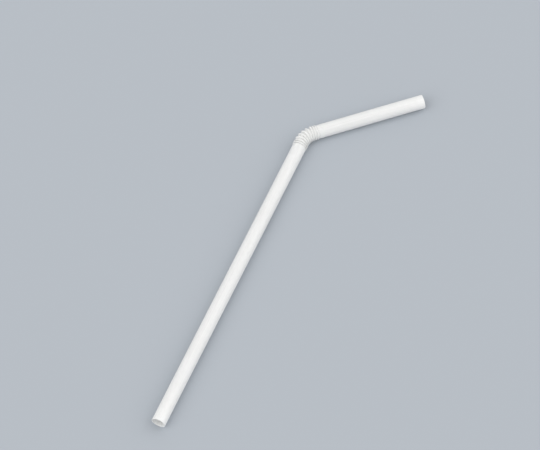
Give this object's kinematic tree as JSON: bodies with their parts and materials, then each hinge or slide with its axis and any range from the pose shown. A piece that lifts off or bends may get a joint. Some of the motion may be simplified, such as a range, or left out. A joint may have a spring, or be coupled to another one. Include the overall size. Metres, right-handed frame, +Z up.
{
  "type": "flexible drinking straw",
  "caption": "Drinking straw lying bent: a long plain tube, a folding bellows half open round the bend, and a short plain tube, with square-cut open ends.",
  "frame": {"origin": "on the surface that the straw lies on, under the middle of its bounding box", "axes": "+X along the long lower tube towards the bellows, +Z up, +Y towards the outside of the bend; the short upper tube turns towards -Y"},
  "size_m": [0.1872, 0.0448, 0.0066],
  "materials": {
    "straw": "satin white polypropylene"
  },
  "bodies": {
    "root": {"straw": "straw"}
  },
  "joints": []
}
